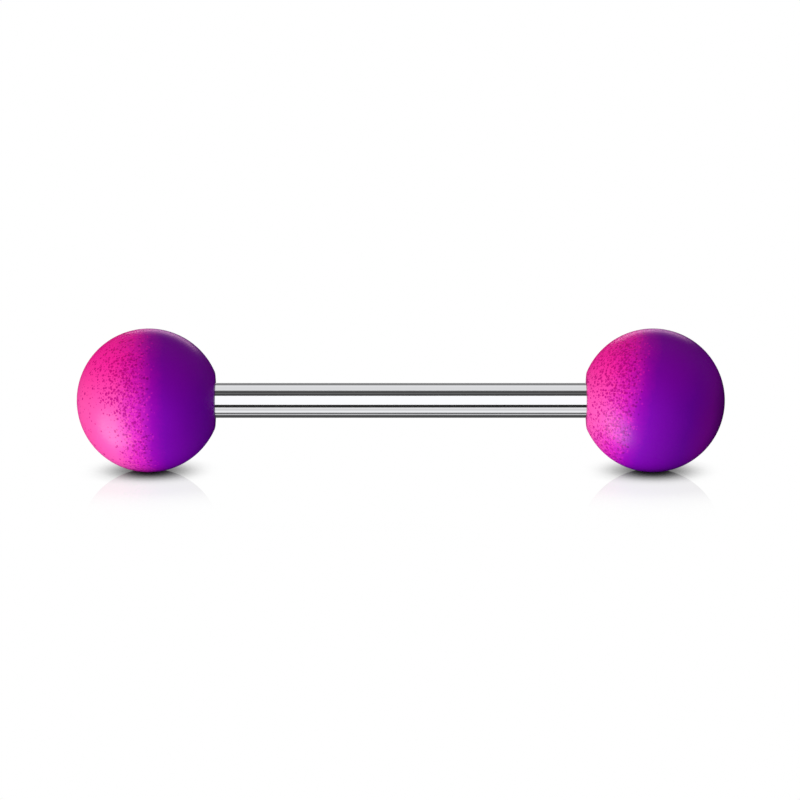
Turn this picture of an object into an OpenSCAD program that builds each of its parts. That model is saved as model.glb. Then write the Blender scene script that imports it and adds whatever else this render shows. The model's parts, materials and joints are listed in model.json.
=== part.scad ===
// Straight piercing barbell: a steel bar with a ball screwed on each end.
// +X runs along the bar, +Z is up, and the balls rest on the plane z = 0.

/* [Bar] */
// Length of the bar that shows between the balls
bar_length = 16; // [10:0.5:22]
// Diameter of the bar
bar_d = 1.5; // [1.5:0.05:2]

/* [Balls] */
// Diameter of each ball
ball_d = 6.2; // [5.5:0.1:8]
// Distance from a ball's middle to its flat, as a share of the ball's radius
flat_share = 0.923; // [0.9:0.001:0.93]
// Radius of the softened rim around the flat
rim_round = 0.35; // [0.2:0.05:0.4]

/* [Thread] */
// Outside diameter of the threaded stub
thread_d = 1.38; // [1.3:0.01:1.4]
// Distance from one thread crest to the next
thread_pitch = 0.3; // [0.25:0.05:0.35]
// Length of the threaded stub past the bar's shoulder
stub_length = 2.6; // [2:0.1:2.8]

/* [Fit] */
// How far the full thickness of the bar goes into a ball
seat_in = 0.1; // [0.05:0.01:0.15]
// Gap left between the bar's shoulder and its seat in the ball
seat_gap = 0.02; // [0.01:0.01:0.05]
// Gap left around the bar in the ball's counterbore
seat_clearance = 0.04; // [0.02:0.01:0.1]
// Gap left around the thread in the ball's hole
thread_clearance = 0.03; // [0.01:0.01:0.05]
// Space left in the hole past the end of the stub
hole_spare = 0.2; // [0.1:0.1:0.5]

/* [Hidden] */
$fn = 96;

bar_r = bar_d / 2;
ball_r = ball_d / 2;
flat_x = ball_r * flat_share;
ball_x = bar_length / 2 + flat_x;
shoulder_x = bar_length / 2 + seat_in;

// A rolled 60 degree thread, with a root of a quarter and a worn-round crest of an eighth of its pitch
thread_r = thread_d / 2;
crest = thread_pitch / 8;
crest_round = 0.01;
root = thread_pitch / 4;
flank = (thread_pitch - crest - root) / 2;
flank_r = thread_r - crest_round;
root_r = flank_r - flank / tan(30);

// The stub has a plain neck, then whole turns of thread, then a chamfered tip
tip_length = 0.15;
tip_chamfer = 0.1;
least_neck = 0.15;
turns = floor((stub_length - tip_length - least_neck) / thread_pitch);
neck_length = stub_length - tip_length - turns * thread_pitch;

// The softened rim is a cone between the ends of its arc, carried on until it clears the ball
rim_x = flat_x - rim_round;
rim_y = sqrt(pow(ball_r - rim_round, 2) - pow(rim_x, 2));
rim_end = [rim_x, rim_y] * ball_r / (ball_r - rim_round);
rim_past = rim_end + 2 * (rim_end - [flat_x, rim_y]);

// The hole has a flared mouth, a counterbore for the bar, a bore for the thread and a drill point
hole_r = thread_r + thread_clearance;
hole_depth = seat_in + stub_length + hole_spare;
counterbore_r = bar_r + seat_clearance;
counterbore_depth = seat_in + seat_gap;
mouth = 0.04;
drill_angle = 118;
drill_point = hole_r / tan(drill_angle / 2);

// Turns a half section about the bar's own line, with x along the bar and y as the radius
module turned_on_bar() {
    translate([0, 0, ball_r])
        rotate([0, 90, 0])
            rotate_extrude()
                mirror([1, -1, 0])
                    children();
}

// Outline of the bar's right end, from its shoulder along the threaded stub to the middle of its tip
function right_end() = concat(
    [[0, bar_r], [0, root_r]],
    [
        for (turn = [0 : turns - 1], p = [
            [0, root_r],
            [flank, flank_r],
            [flank + crest / 2, thread_r],
            [flank + crest, flank_r],
            [2 * flank + crest, root_r]
        ]) [neck_length + turn * thread_pitch + p[0], p[1]]
    ],
    [
        [stub_length - tip_chamfer, root_r],
        [stub_length, root_r - tip_chamfer],
        [stub_length, 0]
    ]
);

// Half section of the bar, the same at both ends, with the turns of its threads drawn as rings
module bar_section() {
    right = right_end();
    polygon(concat(
        [for (p = right) [shoulder_x + p[0], p[1]]],
        [for (i = [len(right) - 1 : -1 : 0]) [-shoulder_x - right[i][0], right[i][1]]]
    ));
}

// Half section of the hole in a ball whose middle is at x = 0
module hole_section() {
    translate([flat_x - hole_depth, 0])
        polygon([
            [-drill_point, 0],
            [0, hole_r],
            [hole_depth, hole_r],
            [hole_depth, 0]
        ]);
    translate([flat_x - counterbore_depth, 0])
        polygon([
            [0, 0],
            [0, counterbore_r],
            [counterbore_depth - mouth, counterbore_r],
            [counterbore_depth + mouth, counterbore_r + 2 * mouth],
            [counterbore_depth + mouth, 0]
        ]);
}

// Half section of a ball with its middle at x = 0 and its flat towards +x
module ball_section() {
    difference() {
        intersection() {
            circle(r = ball_r);
            polygon([
                [-ball_d, 0],
                [flat_x, 0],
                [flat_x, rim_y],
                rim_past,
                [rim_past[0], ball_d],
                [-ball_d, ball_d]
            ]);
        }
        hole_section();
    }
}

module bar() {
    color("silver")
        turned_on_bar()
            bar_section();
}

module ball_left() {
    color("mediumvioletred")
        turned_on_bar()
            translate([-ball_x, 0])
                ball_section();
}

module ball_right() {
    color("darkmagenta")
        turned_on_bar()
            translate([ball_x, 0])
                mirror([1, 0])
                    ball_section();
}

bar();
ball_left();
ball_right();
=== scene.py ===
import json
import math

import bmesh
import bpy
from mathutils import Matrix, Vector


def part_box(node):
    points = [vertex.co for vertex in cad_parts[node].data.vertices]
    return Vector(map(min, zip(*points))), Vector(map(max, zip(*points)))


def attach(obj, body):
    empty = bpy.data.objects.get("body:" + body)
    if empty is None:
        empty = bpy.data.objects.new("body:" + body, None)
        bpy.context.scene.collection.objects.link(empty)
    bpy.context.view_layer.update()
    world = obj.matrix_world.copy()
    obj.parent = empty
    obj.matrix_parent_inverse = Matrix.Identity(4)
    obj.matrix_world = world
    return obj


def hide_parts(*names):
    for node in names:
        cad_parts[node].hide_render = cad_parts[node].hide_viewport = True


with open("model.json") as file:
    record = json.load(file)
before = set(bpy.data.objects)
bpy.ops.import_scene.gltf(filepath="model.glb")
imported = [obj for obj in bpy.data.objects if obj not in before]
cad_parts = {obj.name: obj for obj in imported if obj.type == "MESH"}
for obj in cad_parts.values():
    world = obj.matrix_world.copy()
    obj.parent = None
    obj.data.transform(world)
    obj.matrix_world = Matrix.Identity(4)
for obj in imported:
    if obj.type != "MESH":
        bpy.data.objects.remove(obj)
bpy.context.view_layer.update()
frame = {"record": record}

MM = 0.001

# Two places nearer than this count as one
NEAR = 0.0002 * MM

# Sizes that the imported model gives: the bar's line runs along X at AXIS_Z, and the balls rest on z = 0
shank = next(m for m in frame["record"]["mounts"] if m["name"] == "bar_shank")
AXIS_Z = shank["pos_m"][2]
SHANK_R = shank["dims"]["r_mm"] * MM
SHOULDER_X = shank["dims"]["length_mm"] / 2 * MM
TIP_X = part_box("bar")[1].x
BALL_R = AXIS_Z
BALL_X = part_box("ball_right")[1].x - BALL_R
FLAT_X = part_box("ball_right")[0].x

# The ends of the bar: an undercut neck, and chamfers at the shoulder and the tip
NECK_R = 0.49 * MM
NECK_END_X = SHOULDER_X + 0.3 * MM
SHOULDER_CHAMFER = 0.03 * MM
TIP_CHAMFER = 0.26 * MM

# The thread, right-handed at both ends, with flat crests and roots, and the play that the ball has on it
PITCH = 0.3 * MM
THREAD_R = 0.69 * MM
ROOT_R = 0.518 * MM
ROOT_W = PITCH / 4
FLANK_ANGLE = math.radians(30)
GROOVE_START_X = SHOULDER_X + 0.1 * MM
THREAD_PLAY = 0.03 * MM

# The ball: its softened rim, and the counterbore and blind hole that take the bar. The drill's cone is turned
# down to DRILL_POINT of the hole's radius, and then closed
RIM_ROUND = 0.35 * MM
MOUTH_FLARE = 0.04 * MM
COUNTERBORE_R = SHANK_R + 0.04 * MM
COUNTERBORE_FLOOR_X = SHOULDER_X + 0.02 * MM
LEAD_IN_R = 0.62 * MM
HOLE_R = ROOT_R + THREAD_PLAY
HOLE_END_X = TIP_X + 0.2 * MM
TAP_END_X = TIP_X + 0.14 * MM
DRILL_HALF_ANGLE = math.radians(59)
DRILL_POINT = 0.02
HOLE_TIP_X = HOLE_END_X + (1 - DRILL_POINT) * HOLE_R / math.tan(DRILL_HALF_ANGLE)

# The thread cutters run past the surfaces that they cut: the bar's stands this far over the thread's crests,
# and the ball's reaches down to this radius, inside the hole
CUTTER_PROUD = 0.015 * MM
TAP_INNER_R = ROOT_R + 0.002 * MM

# How finely round shapes are divided, and from which angle an edge is sharp
BAR_SIDES = 144
BALL_SIDES = 192
RIM_STEPS = 8
THREAD_STEPS = 72
DRUM_SIDES = 96
SHARP_ANGLE = math.radians(35)

# Each ball's coat of colour: how far its change from pink to purple lies from the ball's middle, how far it
# leans, how far the droplets draw back from the pink low down, where that clearing partly paints in the
# highlight, and which stretch of the droplets' pattern the ball takes, all but the lean in mm
LEFT_COAT = {"shift": 0.0, "lean": math.radians(1.5), "drawn_back": 1.05, "patch": (3, 1, 2)}
RIGHT_COAT = {"shift": -1.06, "lean": math.radians(-12), "drawn_back": 0.35, "patch": (27, 9, 5)}

# The coat's colours between its droplets, from the pink side to the purple one: the distance along X in mm,
# then the colour at the top of the ball and the colour lower down. The lower colours are paler and bluer:
# partly the paint's own change from plum to violet, and partly painted light from below with a painted
# highlight on the pink. Towards the purple end the colours darken, which is painted shade along the balls'
# outer edge there
COAT_AND_LIGHT_COLOURS = (
    (-2.5, (0.93, 0.012, 0.29), (0.89, 0.075, 0.37)),
    (-1.3, (0.93, 0.013, 0.34), (0.92, 0.090, 0.46)),
    (-0.5, (0.68, 0.005, 0.37), (0.73, 0.018, 0.53)),
    (0.3, (0.28, 0.000, 0.33), (0.31, 0.000, 0.45)),
    (0.8, (0.170, 0.000, 0.30), (0.190, 0.000, 0.40)),
    (2.5, (0.140, 0.000, 0.25), (0.110, 0.000, 0.26)),
    (3.4, (0.150, 0.000, 0.25), (0.135, 0.000, 0.21)),
    (4.1, (0.090, 0.000, 0.15), (0.080, 0.000, 0.13)),
)

# The heights over the ball's middle, in mm, over which the lower colour turns into the top one and over which
# the crown darkens, and what that darkening leaves of the colour. The darker crown is painted shade
TOP_COLOUR_Z = (-0.2, 2.3)
CROWN_Z = (2.0, 3.0)
CROWN_SHADE = (0.93, 0.75, 0.84)

# The droplets' patterns: the size of the cells, of which each holds one droplet or none, the droplets' usual
# radius, and the step from the ball's stretch of the pattern to their own, all in mm
DROPS = {"spacing": 0.12, "radius": 0.06, "step": (0, 0, 0)}
FINE_DROPS = {"spacing": 0.08, "radius": 0.038, "step": (0, 50, 0)}
SPECKS = {"spacing": 0.11, "radius": 0.05, "step": (0, 0, 50)}

# The smallest and largest droplet against that radius, and how much of its own radius is full colour
DROP_SIZES = (0.6, 1.4)
DROP_CORE = 0.7

# What a droplet leaves of the colour under it, how strongly a fine one does, and how far a speck draws the
# coat's colour towards the pink, in mm
DROPLET_TINT = (0.60, 0.08, 0.57)
FINE_DROP_STRENGTH = 0.8
SPECK_PULL = 0.35

# Where the droplets lie: x is in mm from the change of colour, and z from the ball's middle. Each pair is the
# place where they begin or end and the place where they are at their most, and DROPS_SHARE is how many of the
# cells hold one at the two places of DROPS_GATHER_X. Over DROPS_CROWN_Z they thin out to DROPS_CROWN_SHARE of
# that, and over DROPS_LOW_Z they draw back low down, which leaves the pink clear and paler where the
# highlight lies: partly a painted highlight
DROPS_GATHER_X = (-2.7, -0.5)
DROPS_SHARE = (0.05, 0.92)
DROPS_END_X = (0.35, -0.65)
DROPS_LOW_Z = (-0.6, 0.4)
DROPS_CROWN_Z = (2.65, 2.15)
DROPS_CROWN_SHARE = 0.3
SPECKS_BEGIN_X = (-1.5, -0.7)
SPECKS_END_X = (0.5, -0.4)

# The mist's unevenness: how far apart its clouds and its grain set the same colour along X, in mm
CLOUD_SHIFT = 0.4
GRAIN_SHIFT = 0.35

# The finishes. A pair of roughnesses is the lowest and the highest, and peel and relief are heights in mm
PAINT_ROUGHNESS = 0.32
PAINT_ROUGHNESS_SPREAD = 0.1
PAINT_SPECULAR = 0.03
PAINT_PEEL = 0.003
DROP_RELIEF = 0.003
ACRYLIC_COLOURS = ((0.72, 0.66, 0.72), (0.80, 0.76, 0.80))
ACRYLIC_ROUGHNESS = 0.35
ACRYLIC_RELIEF = 0.002
POLISHED_COLOUR = (0.775, 0.78, 0.80, 1)
POLISHED_ROUGHNESS = (0.02, 0.06)
POLISHED_RELIEF = 0.003
CUT_COLOUR = (0.72, 0.71, 0.70, 1)
CUT_ROUGHNESS = (0.13, 0.25)
CUT_RELIEF = 0.002

# How the photograph frames it: the picture's size and the place of the bar's middle in it, in pixels, the
# picture's scale, how far the camera looks down, its lens and sensor in mm, and how near and far it sees
PICTURE_PX = 800
SUBJECT_PX = Vector((400.8, 400.4))
PX_PER_MM = 23.2
CAMERA_TILT = math.radians(12)
LENS = 200
SENSOR = 36
CLIP_START = 10 * MM
CLIP_END = 10000 * MM

# What the polished bar mirrors: strip lights and dark cards, in bands that run along X inside a drum round
# it. Each row is the angle about X, in degrees from the front (-Y) upwards, at which a band begins, and how
# bright the band is
STUDIO_BANDS = (
    (-180, 0.08),
    (-113, 0.13),
    (-101, 0.75),
    (-90, 0.10),
    (-79, 0.9),
    (-72, 1.1),
    (-61, 0.8),
    (-48, 0.95),
    (-37, 0.03),
    (-17, 1.25),
    (42, 0.07),
    (56, 0.17),
    (63, 0.06),
    (70, 0.13),
    (80, 0.9),
    (92, 0.88),
    (113, 0.95),
    (126, 0.65),
    (137, 0.2),
    (168, 0.7),
)
BRIGHTEST_BAND = 1.25
DRUM_R = 600 * MM
DRUM_LENGTH = 3600 * MM

# The studio's soft light: SOFT_LIGHT from everywhere, and more from low in front on the left and from above
# behind. Each row is a direction and how much light comes from it
SOFT_LIGHT = 0.38
SOFT_LAMPS = (
    ((-0.52, -0.72, -0.46), 1.31),
    ((-0.15, 0.6, 0.8), 0.55),
)

# The lamps that only show as gloss on the balls: the highlight, and the thin light along their top edge.
# Their places are measured from the bar's middle, and their power is in watts
HIGHLIGHT = {
    "place": (-150 * MM, -63 * MM, -111 * MM),
    "across": 155 * MM,
    "high": 175 * MM,
    "power": 2.05,
    "colour": (1, 1, 1),
}
EDGE_LIGHT = {
    "place": (20 * MM, 340 * MM, 98 * MM),
    "across": 220 * MM,
    "high": 80 * MM,
    "power": 0.26,
    "colour": (1, 0.55, 0.8),
}

# The floor. Its middle is set aside, because a faint line can show from corner to corner across it
FLOOR_SIZE = 4000 * MM
FLOOR_ASIDE = 500 * MM

# How far the floor looks for what stands over it, how much of the sky over it is open where its shadow is
# darkest and where it ends, how strongly it mirrors, and how open it is where it mirrors nothing and its most
FLOOR_REACH = 30 * MM
FLOOR_SAMPLES = 16
FLOOR_SHADOW = (0.03, 0.6)
FLOOR_GLOSS = 0.5
FLOOR_IOR = 1.45
FLOOR_MIRRORS = (0.93, 0.8)

# The Mix node's sockets where it mixes colours
MIX_SHARE, MIX_FIRST, MIX_SECOND, MIX_RESULT = 0, 6, 7, 2

WHITE = (1, 1, 1, 1)


def about_axis(x):
    """The point at x on the bar's line."""
    return Vector((x, 0, AXIS_Z))


def take(piece):
    """Makes the piece the only one selected, and the active one."""
    bpy.ops.object.select_all(action="DESELECT")
    piece.select_set(True)
    bpy.context.view_layer.objects.active = piece


def shape(piece):
    """Opens the piece for shaping, with nothing selected."""
    take(piece)
    bpy.ops.object.mode_set(mode="EDIT")
    bpy.ops.mesh.select_mode(type="FACE")
    bpy.ops.mesh.select_all(action="DESELECT")


def close_shape():
    """Ends the shaping of the piece."""
    bpy.ops.object.mode_set(mode="OBJECT")


def select_faces(piece, wanted):
    """Selects the faces for which wanted(centre) is true."""
    mesh = bmesh.from_edit_mesh(piece.data)
    for face in mesh.faces:
        face.select_set(wanted(face.calc_center_median()))
    mesh.select_flush_mode()
    bmesh.update_edit_mesh(piece.data)


def turn_profile(start, profile):
    """Carries the selected end face, which is at the start, along a turned profile of (x, radius) points."""
    x, r = start
    for next_x, next_r in profile:
        bpy.ops.mesh.extrude_region_move(TRANSFORM_OT_translate={"value": (next_x - x, 0, 0)})
        bpy.ops.transform.resize(value=(1, next_r / r, next_r / r), center_override=about_axis(next_x))
        x, r = next_x, next_r


def rounded(centre_x, centre_r, radius, start_angle, end_angle, steps):
    """Points of a round edge in a turned profile. Angles run from +X towards the outside."""
    angles = [start_angle + (end_angle - start_angle) * i / steps for i in range(1, steps + 1)]
    return [(centre_x + radius * math.cos(a), centre_r + radius * math.sin(a)) for a in angles]


def thread_cutter(name, start_x, end_x, inner, outer):
    """A right-handed helical ridge along X. Inner and outer are the (radius, half width) of its section."""
    inner_r, inner_half = inner
    outer_r, outer_half = outer
    middle_r = (inner_r + outer_r) / 2
    start = about_axis(start_x)

    # The section starts as a square with sides of 1 m, so its scale is its size
    bpy.ops.object.select_all(action="DESELECT")
    bpy.ops.mesh.primitive_plane_add(size=1, location=start, rotation=(math.pi / 2, 0, 0))
    cutter = bpy.context.object
    cutter.name = name
    bpy.ops.object.transform_apply(location=False, rotation=True, scale=False)
    shape(cutter)
    bpy.ops.mesh.select_all(action="SELECT")
    bpy.ops.transform.resize(value=(2 * inner_half, 1, outer_r - inner_r), center_override=start)
    bpy.ops.transform.translate(value=(0, 0, middle_r))
    bpy.ops.mesh.delete(type="ONLY_FACE")
    bpy.ops.mesh.select_mode(type="EDGE")
    mesh = bmesh.from_edit_mesh(cutter.data)
    for edge in mesh.edges:
        edge.select_set(all(v.co.z > middle_r for v in edge.verts))
    bmesh.update_edit_mesh(cutter.data)
    bpy.ops.transform.resize(value=(outer_half / inner_half, 1, 1), center_override=start)
    close_shape()

    screw = cutter.modifiers.new("thread", "SCREW")
    screw.axis = "X"
    screw.angle = 2 * math.pi
    screw.screw_offset = PITCH
    screw.iterations = math.ceil((end_x - start_x) / PITCH)
    screw.steps = screw.render_steps = THREAD_STEPS
    bpy.ops.object.modifier_apply(modifier=screw.name)
    bpy.ops.object.transform_apply(location=True, rotation=False, scale=False)
    shape(cutter)
    bpy.ops.mesh.select_all(action="SELECT")
    bpy.ops.mesh.fill_holes(sides=4)
    bpy.ops.mesh.select_all(action="SELECT")
    bpy.ops.mesh.normals_make_consistent(inside=False)
    close_shape()
    return cutter


def cut(piece, cutter):
    """Takes the cutter's shape out of the piece."""
    take(piece)
    boolean = piece.modifiers.new("cut", "BOOLEAN")
    boolean.operation = "DIFFERENCE"
    boolean.solver = "EXACT"
    boolean.object = cutter
    bpy.ops.object.modifier_apply(modifier=boolean.name)


def turned_round(piece):
    """A copy of the piece, with its own mesh, turned half a turn about Z."""
    take(piece)
    bpy.ops.object.duplicate()
    copy = bpy.context.object
    bpy.ops.transform.rotate(value=math.pi, orient_axis="Z", center_override=(0, 0, 0))
    bpy.ops.object.transform_apply(location=True, rotation=True, scale=True)
    return copy


def scrap(*pieces):
    """Throws away cutters that have done their work."""
    bpy.ops.object.select_all(action="DESELECT")
    for piece in pieces:
        piece.select_set(True)
    bpy.ops.object.delete()


def smooth(piece):
    """Shades the piece smooth, except over its sharp edges."""
    take(piece)
    bpy.ops.object.shade_smooth_by_angle(angle=SHARP_ANGLE)


def half_groove(r, play=0.0):
    """Half the width of the thread's groove at radius r; play widens it."""
    return ROOT_W / 2 + (r - ROOT_R) * math.tan(FLANK_ANGLE) + play / math.cos(FLANK_ANGLE)


def half_ridge(r, play):
    """Half the width, at radius r, of the ridge between two turns of the groove; play widens it."""
    return PITCH / 2 - half_groove(r, -play)


def make_bar():
    """The polished bar, with an undercut neck and a threaded, chamfered stub at each end."""
    chamfer_x = SHOULDER_X - SHOULDER_CHAMFER
    bpy.ops.object.select_all(action="DESELECT")
    bpy.ops.mesh.primitive_cylinder_add(
        vertices=BAR_SIDES,
        radius=SHANK_R,
        depth=2 * chamfer_x,
        location=about_axis(0),
        rotation=(0, math.pi / 2, 0),
    )
    bar = bpy.context.object
    bar.name = "bar_polished"
    bpy.ops.object.transform_apply(location=True, rotation=True, scale=True)
    for side in (1, -1):
        shape(bar)
        select_faces(bar, lambda centre: centre.x * side > chamfer_x - NEAR)
        turn_profile(
            (side * chamfer_x, SHANK_R),
            [
                (side * SHOULDER_X, SHANK_R - SHOULDER_CHAMFER),
                (side * SHOULDER_X, NECK_R),
                (side * NECK_END_X, NECK_R),
                (side * (NECK_END_X + THREAD_R - NECK_R), THREAD_R),
                (side * (TIP_X - TIP_CHAMFER), THREAD_R),
                (side * TIP_X, THREAD_R - TIP_CHAMFER),
            ],
        )
        close_shape()

    outer_r = THREAD_R + CUTTER_PROUD
    groove = thread_cutter(
        "groove",
        GROOVE_START_X,
        TIP_X + PITCH,
        (ROOT_R, half_groove(ROOT_R)),
        (outer_r, half_groove(outer_r)),
    )
    other_groove = turned_round(groove)
    cut(bar, groove)
    cut(bar, other_groove)
    scrap(groove, other_groove)
    smooth(bar)
    return bar


def make_ball():
    """The right-hand ball, cut off at a flat, with a soft rim and a tapped hole towards the bar."""
    bpy.ops.object.select_all(action="DESELECT")
    bpy.ops.mesh.primitive_uv_sphere_add(
        segments=BALL_SIDES,
        ring_count=BALL_SIDES // 2,
        radius=BALL_R,
        location=about_axis(BALL_X),
        rotation=(0, math.pi / 2, 0),
    )
    ball = bpy.context.object
    bpy.ops.object.transform_apply(location=True, rotation=True, scale=True)

    # The rim's arc touches the flat and, inside it, the ball, which is cut off where the two meet
    rim_x = FLAT_X + RIM_ROUND
    rim_r = math.sqrt((BALL_R - RIM_ROUND) ** 2 - (BALL_X - rim_x) ** 2)
    rim_angle = math.pi - math.atan2(rim_r, BALL_X - rim_x)
    cut_x = rim_x + RIM_ROUND * math.cos(rim_angle)
    cut_r = rim_r + RIM_ROUND * math.sin(rim_angle)
    shape(ball)
    bpy.ops.mesh.select_all(action="SELECT")
    bpy.ops.mesh.bisect(
        plane_co=about_axis(cut_x),
        plane_no=(-1, 0, 0),
        use_fill=True,
        clear_outer=True,
        threshold=NEAR,
    )
    bpy.ops.mesh.select_mode(type="FACE")
    select_faces(ball, lambda centre: abs(centre.x - cut_x) < NEAR)
    turn_profile(
        (cut_x, cut_r),
        rounded(rim_x, rim_r, RIM_ROUND, rim_angle, math.pi, RIM_STEPS)
        + [
            (FLAT_X, COUNTERBORE_R + MOUTH_FLARE),
            (FLAT_X + MOUTH_FLARE, COUNTERBORE_R),
            (COUNTERBORE_FLOOR_X, COUNTERBORE_R),
            (COUNTERBORE_FLOOR_X, LEAD_IN_R),
            (COUNTERBORE_FLOOR_X + LEAD_IN_R - HOLE_R, HOLE_R),
            (HOLE_END_X, HOLE_R),
            (HOLE_TIP_X, DRILL_POINT * HOLE_R),
        ],
    )
    bpy.ops.mesh.merge(type="CENTER")
    bpy.ops.mesh.select_all(action="SELECT")
    bpy.ops.mesh.normals_make_consistent(inside=False)
    close_shape()

    # The tap starts a turn and a half before the bar's groove, so its ridge runs midway between the turns of
    # the groove, over the bar's own ridge
    outer_r = THREAD_R + THREAD_PLAY
    tap = thread_cutter(
        "tap",
        GROOVE_START_X - 1.5 * PITCH,
        TAP_END_X,
        (TAP_INNER_R, half_ridge(TAP_INNER_R, THREAD_PLAY)),
        (outer_r, half_ridge(outer_r, THREAD_PLAY)),
    )
    cut(ball, tap)
    scrap(tap)
    smooth(ball)
    return ball


def make_camera():
    """The camera, aimed so that the bar's middle lies where the photograph has it."""
    aim = about_axis(0) + Vector(
        (
            (PICTURE_PX / 2 - SUBJECT_PX.x) / PX_PER_MM * MM,
            0,
            (SUBJECT_PX.y - PICTURE_PX / 2) / PX_PER_MM * MM,
        )
    )
    distance = PICTURE_PX / PX_PER_MM * MM * LENS / SENSOR
    back = Vector((0, -math.cos(CAMERA_TILT), math.sin(CAMERA_TILT)))
    data = bpy.data.cameras.new("camera")
    data.lens = LENS
    data.sensor_width = SENSOR
    data.clip_start = CLIP_START
    data.clip_end = CLIP_END
    camera = bpy.data.objects.new("camera", data)
    bpy.context.scene.collection.objects.link(camera)
    camera.location = aim + back * distance
    camera.rotation_euler = (-back).to_track_quat("-Z", "Y").to_euler()
    bpy.context.scene.camera = camera


def add_node(tree, kind, inputs=None, **settings):
    """A new node, with its settings, and its inputs given values or linked from other nodes' outputs."""
    new = tree.nodes.new(kind)
    for name, value in settings.items():
        setattr(new, name, value)
    for key, value in (inputs or {}).items():
        if isinstance(value, bpy.types.NodeSocket):
            tree.links.new(value, new.inputs[key])
        else:
            new.inputs[key].default_value = value
    return new


def output_of(tree, kind, inputs=None, **settings):
    """The first output of a new node."""
    return add_node(tree, kind, inputs, **settings).outputs[0]


def calculate(tree, operation, *values):
    """The output of a Math node on one, two or three values."""
    return output_of(tree, "ShaderNodeMath", dict(enumerate(values)), operation=operation)


def remap(tree, value, start, end, low=0.0, high=1.0, curve="LINEAR"):
    """Carries a value from the range start to end over to the range low to high, and holds it there."""
    inputs = {"Value": value, "From Min": start, "From Max": end, "To Min": low, "To Max": high}
    return add_node(tree, "ShaderNodeMapRange", inputs, interpolation_type=curve).outputs["Result"]


def ramp(tree, value, stops, curve="LINEAR"):
    """A colour ramp on the value, with (position, linear colour) stops."""
    new = add_node(tree, "ShaderNodeValToRGB", {"Fac": value})
    elements = new.color_ramp.elements
    while len(elements) < len(stops):
        elements.new(1)
    for element, (position, colour) in zip(elements, stops):
        element.position = position
        element.color = (*colour, 1)
    new.color_ramp.interpolation = curve
    return new.outputs["Color"]


def opaque(colour):
    """The colour with its alpha, or the output that gives the colour, as it is."""
    return (*colour, 1) if isinstance(colour, tuple) else colour


def mix_colours(tree, share, first, second, blend="MIX"):
    """Blends the second colour into the first by the share."""
    inputs = {MIX_SHARE: share, MIX_FIRST: opaque(first), MIX_SECOND: opaque(second)}
    return add_node(tree, "ShaderNodeMix", inputs, data_type="RGBA", blend_type=blend).outputs[MIX_RESULT]


def mix_shaders(tree, share, first, second):
    """The first shader, with the second in its place by the share."""
    return output_of(tree, "ShaderNodeMixShader", {0: share, 1: first, 2: second})


def separate(tree, vector):
    """The outputs X, Y and Z of the coordinates."""
    return add_node(tree, "ShaderNodeSeparateXYZ", {"Vector": vector}).outputs


def millimetres_from(tree, point, lean=0.0, stretch=(1, 1, 1)):
    """The object's own coordinates in mm from a point of it, leaned about Y and stretched."""
    coordinates = add_node(tree, "ShaderNodeTexCoord").outputs["Object"]
    offset = tuple(-c / MM for c in point)
    inputs = {"Vector": coordinates, "Location": offset, "Scale": (1 / MM,) * 3}
    centred = output_of(tree, "ShaderNodeMapping", inputs)
    inputs = {"Vector": centred, "Rotation": (0, lean, 0), "Scale": stretch}
    return output_of(tree, "ShaderNodeMapping", inputs)


def moved(tree, vector, step):
    """The coordinates a step away."""
    return output_of(tree, "ShaderNodeVectorMath", {0: vector, 1: step}, operation="ADD")


def noise(tree, vector, scale, detail=2.0, roughness=0.5):
    """Soft noise round zero, of about half a unit either way."""
    inputs = {"Vector": vector, "Scale": scale, "Detail": detail, "Roughness": roughness}
    value = add_node(tree, "ShaderNodeTexNoise", inputs).outputs["Fac"]
    return calculate(tree, "SUBTRACT", value, 0.5)


def noise_between(tree, vector, low, high, scale):
    """Soft noise in the range low to high."""
    return remap(tree, noise(tree, vector, scale), -0.5, 0.5, low, high)


def droplets(tree, pattern, share, spacing, radius, step):
    """Dots of many sizes round the radius, in cells of the spacing, where the share of the cells has one."""
    own = moved(tree, pattern, step)
    cells = add_node(tree, "ShaderNodeTexVoronoi", {"Vector": own, "Scale": 1 / spacing}).outputs
    chance = add_node(tree, "ShaderNodeSeparateColor", {"Color": cells["Color"]}).outputs
    there = calculate(tree, "LESS_THAN", chance["Red"], share)
    smallest, largest = DROP_SIZES
    size = calculate(tree, "MULTIPLY_ADD", chance["Green"], largest - smallest, smallest)
    distance = calculate(tree, "DIVIDE", cells["Distance"], size)
    dot = remap(tree, distance, radius / spacing, DROP_CORE * radius / spacing)
    return calculate(tree, "MULTIPLY", dot, there)


def new_material(name):
    """A new material, its node tree and its shader."""
    material = bpy.data.materials.new(name)
    material.use_nodes = True
    return material, material.node_tree, material.node_tree.nodes["Principled BSDF"]


def empty_material(name):
    """A new material and its node tree, with no nodes in it."""
    material = bpy.data.materials.new(name)
    material.use_nodes = True
    material.node_tree.nodes.clear()
    return material, material.node_tree


def bump(tree, shader, height):
    """Raises the shader's surface by a height in mm."""
    new = add_node(tree, "ShaderNodeBump", {"Height": height, "Distance": MM, "Strength": 1.0})
    tree.links.new(new.outputs["Normal"], shader.inputs["Normal"])


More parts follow.
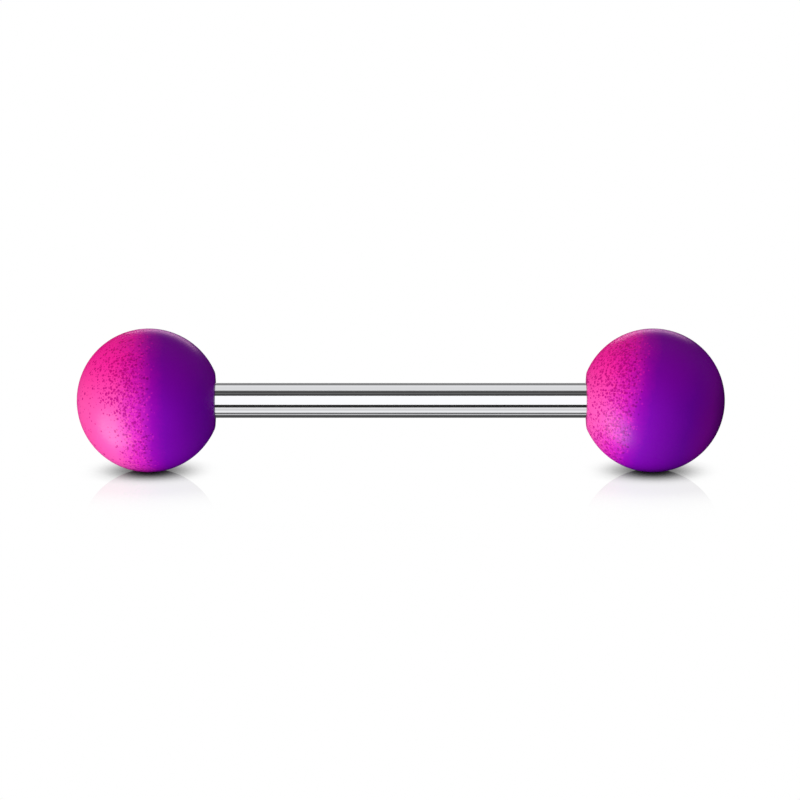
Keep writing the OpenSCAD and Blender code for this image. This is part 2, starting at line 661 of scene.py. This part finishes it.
def coat_droplets(tree, pattern, x, z, drawn_back):
    """The droplets where the mist thins out over the pink: the larger ones, and these with the fine ones."""
    # Low down the droplets draw back from the pink, which leaves the coat paler where the highlight lies:
    # partly a painted highlight
    reach = calculate(tree, "ADD", x, remap(tree, z, *DROPS_LOW_Z, -drawn_back, 0.0))
    share = calculate(
        tree,
        "MULTIPLY",
        remap(tree, reach, *DROPS_GATHER_X, *DROPS_SHARE, curve="SMOOTHSTEP"),
        remap(tree, x, *DROPS_END_X),
    )
    share = calculate(tree, "MULTIPLY", share, remap(tree, z, *DROPS_CROWN_Z, DROPS_CROWN_SHARE, 1.0))
    drops = droplets(tree, pattern, share, **DROPS)
    fine_drops = calculate(tree, "MULTIPLY", droplets(tree, pattern, share, **FINE_DROPS), FINE_DROP_STRENGTH)
    return drops, calculate(tree, "MAXIMUM", drops, fine_drops)


def mist_place(tree, pattern, x):
    """The place along X whose colour the coat takes, made uneven by clouds, grain and specks."""
    share = calculate(tree, "MULTIPLY", remap(tree, x, *SPECKS_BEGIN_X), remap(tree, x, *SPECKS_END_X))
    specks = droplets(tree, pattern, share, **SPECKS)
    mist = calculate(tree, "MULTIPLY_ADD", noise(tree, pattern, scale=0.8), CLOUD_SHIFT, x)
    mist = calculate(tree, "MULTIPLY_ADD", noise(tree, pattern, scale=7, roughness=0.6), GRAIN_SHIFT, mist)
    return calculate(tree, "MULTIPLY_ADD", specks, -SPECK_PULL, mist)


def mist_colour_with_light(tree, mist, height):
    """The coat's colour at a place of the mist and a height over the ball's middle, with painted light and
    shade that change with height.
    """
    first, last = COAT_AND_LIGHT_COLOURS[0][0], COAT_AND_LIGHT_COLOURS[-1][0]
    share = remap(tree, mist, first, last)
    top, low = (
        ramp(tree, share, [((row[0] - first) / (last - first), row[side]) for row in COAT_AND_LIGHT_COLOURS])
        for side in (1, 2)
    )
    colour = mix_colours(tree, remap(tree, height, *TOP_COLOUR_Z, curve="SMOOTHSTEP"), low, top)
    return mix_colours(tree, remap(tree, height, *CROWN_Z), colour, CROWN_SHADE, blend="MULTIPLY")


def paint_material(name, ball_x, coat):
    """Matte airbrushed colour: purple mist blown from +X over hot pink, in droplets where it thins out."""
    material, tree, shader = new_material(name)
    upright = millimetres_from(tree, about_axis(ball_x))
    leaned = millimetres_from(tree, about_axis(ball_x), lean=coat["lean"])
    pattern = moved(tree, leaned, coat["patch"])
    place = separate(tree, leaned)
    x = calculate(tree, "SUBTRACT", place["X"], coat["shift"])

    drops, spray = coat_droplets(tree, pattern, x, place["Z"], coat["drawn_back"])
    # The coat's colour carries painted light and shade: paler low down, darker at the crown and along the
    # purple edge
    colour = mist_colour_with_light(tree, mist_place(tree, pattern, x), separate(tree, upright)["Z"])
    colour = mix_colours(tree, spray, colour, DROPLET_TINT, blend="MULTIPLY")
    tree.links.new(colour, shader.inputs["Base Color"])

    uneven = noise(tree, pattern, scale=5)
    roughness = calculate(tree, "MULTIPLY_ADD", uneven, PAINT_ROUGHNESS_SPREAD, PAINT_ROUGHNESS)
    tree.links.new(roughness, shader.inputs["Roughness"])
    shader.inputs["Specular IOR Level"].default_value = PAINT_SPECULAR
    peel = calculate(tree, "MULTIPLY", noise(tree, pattern, scale=9), PAINT_PEEL)
    bump(tree, shader, calculate(tree, "MULTIPLY_ADD", drops, DROP_RELIEF, peel))
    return material


def bare_acrylic():
    """Milky moulded acrylic, where the coat of colour doesn't reach inside the hole."""
    material, tree, shader = new_material("bare_acrylic")
    place = millimetres_from(tree, about_axis(0))
    cloud = noise_between(tree, place, low=0.0, high=1.0, scale=1.5)
    tree.links.new(mix_colours(tree, cloud, *ACRYLIC_COLOURS), shader.inputs["Base Color"])
    shader.inputs["Roughness"].default_value = ACRYLIC_ROUGHNESS
    bump(tree, shader, calculate(tree, "MULTIPLY", noise(tree, place, scale=20), ACRYLIC_RELIEF))
    return material


def polished_steel():
    """Mirror-polished steel, with the faintest waviness and polishing lines."""
    material, tree, shader = new_material("polished_steel")
    place = millimetres_from(tree, about_axis(0), stretch=(0.25, 1, 1))
    lines = millimetres_from(tree, about_axis(0), stretch=(6, 0.5, 0.5))
    shader.inputs["Base Color"].default_value = POLISHED_COLOUR
    shader.inputs["Metallic"].default_value = 1
    tree.links.new(noise_between(tree, lines, *POLISHED_ROUGHNESS, scale=4), shader.inputs["Roughness"])
    bump(tree, shader, calculate(tree, "MULTIPLY", noise(tree, place, scale=0.9, detail=0), POLISHED_RELIEF))
    return material


def cut_steel():
    """The same steel as the thread roller and lathe left it, on the neck and stub."""
    material, tree, shader = new_material("cut_steel")
    place = millimetres_from(tree, about_axis(0), stretch=(12, 1, 1))
    shader.inputs["Base Color"].default_value = CUT_COLOUR
    shader.inputs["Metallic"].default_value = 1
    tree.links.new(noise_between(tree, place, *CUT_ROUGHNESS, scale=3), shader.inputs["Roughness"])
    bump(tree, shader, calculate(tree, "MULTIPLY", noise(tree, place, scale=2), CUT_RELIEF))
    return material


def finish_with(piece, *materials):
    """Gives the piece its materials. All of its faces start with the first one."""
    for material in materials:
        piece.data.materials.append(material)


def second_material_where(piece, wanted):
    """Gives the faces for which wanted(centre) is true the piece's second material."""
    for face in piece.data.polygons:
        if wanted(face.center):
            face.material_index = 1


def in_hole(centre):
    """Whether a ball's face is past the counterbore, in the tapped hole."""
    within = math.hypot(centre.y, centre.z - AXIS_Z) < COUNTERBORE_R
    return within and COUNTERBORE_FLOOR_X + NEAR < abs(centre.x) < HOLE_TIP_X


def past_shoulder(centre):
    """Whether a face of the bar is on a shoulder, a neck or a stub."""
    return abs(centre.x) > SHOULDER_X - NEAR


def band_level(tree):
    """The brightness of the bands at a place on the drum, as a share of the brightest one's."""
    place = separate(tree, add_node(tree, "ShaderNodeTexCoord").outputs["Object"])
    front = calculate(tree, "MULTIPLY", place["Y"], -1.0)
    angle = calculate(tree, "ARCTAN2", place["Z"], front)
    stops = [((start + 180) / 360, (level / BRIGHTEST_BAND,) * 3) for start, level in STUDIO_BANDS]
    return ramp(tree, remap(tree, angle, -math.pi, math.pi), stops, curve="CONSTANT")


def make_bands_for(piece):
    """A drum round the bar's line, with the bands on its inside. It only shows as gloss on the piece."""
    bpy.ops.object.select_all(action="DESELECT")
    bpy.ops.mesh.primitive_cylinder_add(
        vertices=DRUM_SIDES,
        radius=DRUM_R,
        depth=DRUM_LENGTH,
        location=about_axis(0),
        rotation=(0, math.pi / 2, 0),
    )
    drum = bpy.context.object
    drum.name = "bands"
    bpy.ops.object.transform_apply(location=False, rotation=True, scale=True)
    for kind in ("camera", "diffuse", "transmission", "volume_scatter", "shadow"):
        setattr(drum, "visible_" + kind, False)
    drum.light_linking.receiver_collection = bpy.data.collections.new("bands_fall_on")
    drum.light_linking.receiver_collection.objects.link(piece)

    # The floor's mirror is a perfect one, so its rays are singular, and they go straight through the drum
    material, tree = empty_material("bands")
    material.cycles.emission_sampling = "NONE"
    bands = output_of(tree, "ShaderNodeEmission", {"Color": band_level(tree), "Strength": BRIGHTEST_BAND})
    through = output_of(tree, "ShaderNodeBsdfTransparent")
    singular = add_node(tree, "ShaderNodeLightPath").outputs["Is Singular Ray"]
    add_node(tree, "ShaderNodeOutputMaterial", {"Surface": mix_shaders(tree, singular, bands, through)})
    drum.data.materials.append(material)


def soft_light(tree, direction):
    """The brightness of the studio's soft light in a direction."""
    total = SOFT_LIGHT
    for towards, level in SOFT_LAMPS:
        pair = {0: direction, 1: Vector(towards).normalized()}
        facing = add_node(tree, "ShaderNodeVectorMath", pair, operation="DOT_PRODUCT").outputs["Value"]
        facing = calculate(tree, "MAXIMUM", facing, 0.0)
        total = calculate(tree, "MULTIPLY_ADD", facing, level, total)
    return total


def make_studio():
    """Soft light for matte surfaces, and plain white for the camera and the floor's mirror."""
    world = bpy.data.worlds.new("studio")
    bpy.context.scene.world = world
    world.cycles.sampling_method = "NONE"
    world.use_nodes = True
    tree = world.node_tree
    tree.nodes.clear()
    direction = add_node(tree, "ShaderNodeTexCoord").outputs["Generated"]
    soft = output_of(tree, "ShaderNodeBackground", {"Color": WHITE, "Strength": soft_light(tree, direction)})
    white = output_of(tree, "ShaderNodeBackground", {"Color": WHITE, "Strength": 1.0})
    ray = add_node(tree, "ShaderNodeLightPath").outputs
    plain = calculate(tree, "MAXIMUM", ray["Is Camera Ray"], ray["Is Singular Ray"])
    add_node(tree, "ShaderNodeOutputWorld", {"Surface": mix_shaders(tree, plain, soft, white)})


def make_floor():
    """A white floor with a trace of gloss, darker where the object stands. Light comes up through it."""
    bpy.ops.object.select_all(action="DESELECT")
    bpy.ops.mesh.primitive_plane_add(size=FLOOR_SIZE, location=(FLOOR_ASIDE, 0, 0))
    floor = bpy.context.object
    floor.name = "floor"
    material, tree = empty_material("floor_white")
    reach = {"Distance": FLOOR_REACH}
    openness = add_node(tree, "ShaderNodeAmbientOcclusion", reach, samples=FLOOR_SAMPLES).outputs["AO"]
    shade = remap(tree, openness, *FLOOR_SHADOW, curve="SMOOTHSTEP")

    fresnel = output_of(tree, "ShaderNodeFresnel", {"IOR": FLOOR_IOR})
    share = calculate(tree, "MULTIPLY", fresnel, FLOOR_GLOSS)
    share = calculate(tree, "MULTIPLY", share, remap(tree, openness, *FLOOR_MIRRORS))
    white = output_of(tree, "ShaderNodeEmission", {"Color": shade, "Strength": 1.0})
    gloss = output_of(tree, "ShaderNodeBsdfGlossy", {"Color": WHITE, "Roughness": 0.0})
    top = mix_shaders(tree, share, white, gloss)

    # Only the camera sees the floor's top: all other light goes through it, darkened by its shadow
    through = output_of(tree, "ShaderNodeBsdfTransparent", {"Color": shade})
    seen = add_node(tree, "ShaderNodeLightPath").outputs["Is Camera Ray"]
    add_node(tree, "ShaderNodeOutputMaterial", {"Surface": mix_shaders(tree, seen, through, top)})
    floor.data.materials.append(material)


def make_gloss_lamp(name, place, across, high, power, colour, lit):
    """A lamp, at a place from the bar's middle, that only shows as gloss, and only on the lit pieces."""
    light = bpy.data.lights.new(name, "AREA")
    light.shape = "ELLIPSE"
    light.size = across
    light.size_y = high
    light.energy = power
    light.color = colour
    lamp = bpy.data.objects.new(name, light)
    lamp.location = about_axis(0) + Vector(place)
    lamp.rotation_euler = Vector(place).to_track_quat("Z", "Y").to_euler()
    lamp.visible_camera = False
    lamp.visible_diffuse = False
    bpy.context.scene.collection.objects.link(lamp)
    lamp.light_linking.receiver_collection = bpy.data.collections.new(name + "_falls_on")
    for piece in lit:
        lamp.light_linking.receiver_collection.objects.link(piece)


bpy.context.scene.view_settings.view_transform = "Standard"
make_camera()
make_studio()
make_floor()

bar = make_bar()
ball_right = make_ball()
ball_left = turned_round(ball_right)
ball_right.name = "ball_right_painted"
ball_left.name = "ball_left_painted"

make_bands_for(bar)
make_gloss_lamp("highlight", **HIGHLIGHT, lit=(ball_left, ball_right))
make_gloss_lamp("edge_light", **EDGE_LIGHT, lit=(ball_left, ball_right))

# In the photograph the bar casts no shadow on the floor
bar.visible_shadow = False

finish_with(bar, polished_steel(), cut_steel())
second_material_where(bar, past_shoulder)
acrylic = bare_acrylic()
finish_with(ball_left, paint_material("paint_left", -BALL_X, LEFT_COAT), acrylic)
finish_with(ball_right, paint_material("paint_right", BALL_X, RIGHT_COAT), acrylic)
for ball in (ball_left, ball_right):
    second_material_where(ball, in_hole)

# Each piece rides on the body named after the CAD node that it stands in for, and that node is hidden
for piece, body, slot in (
    (bar, "bar", "bar_steel"),
    (ball_left, "ball_left", "ball_colour"),
    (ball_right, "ball_right", "ball_colour"),
):
    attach(piece, body)
    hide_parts(body)
